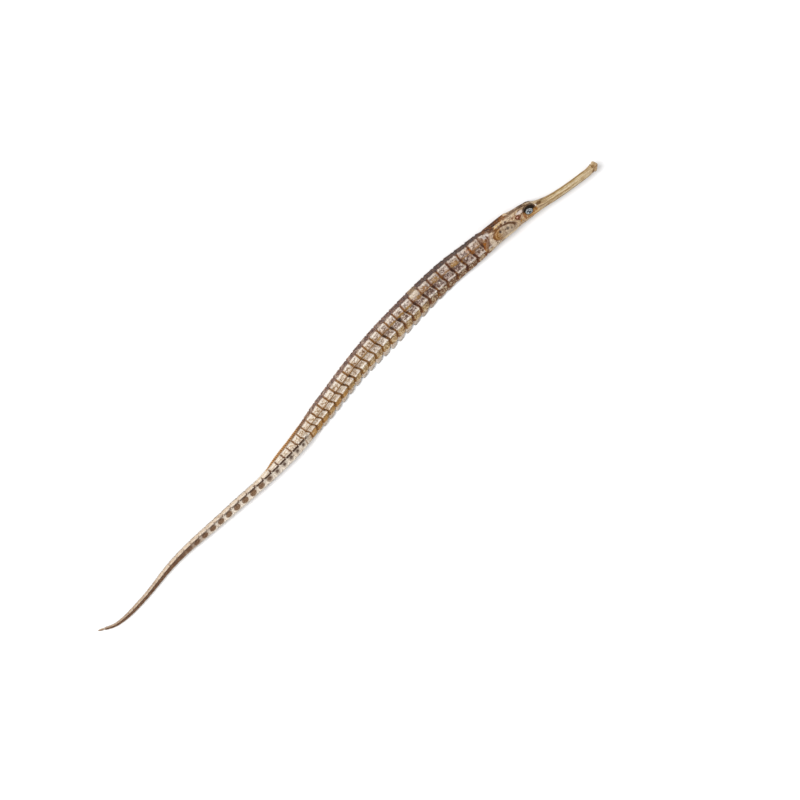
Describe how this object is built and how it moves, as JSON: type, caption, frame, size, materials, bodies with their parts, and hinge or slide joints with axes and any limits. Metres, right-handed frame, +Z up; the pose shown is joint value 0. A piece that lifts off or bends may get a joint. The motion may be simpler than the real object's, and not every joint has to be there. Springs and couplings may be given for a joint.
{
  "type": "dried pipefish",
  "caption": "Long thin dried pipefish with a tubular snout, big eye, ringed bony plates, a toothed belly keel, a folded back fin and a tapering tail, lying on its side.",
  "frame": {"origin": "under the middle of the fish's box, on the surface it lies on", "axes": "+X along the fish from tail tip to mouth, +Y towards its back, +Z up, with its right side up"},
  "size_m": [0.248, 0.018, 0.0069],
  "materials": {
    "skin": "matte dried skin over bony plates"
  },
  "bodies": {
    "root": {"pipefish": "skin"}
  },
  "joints": []
}
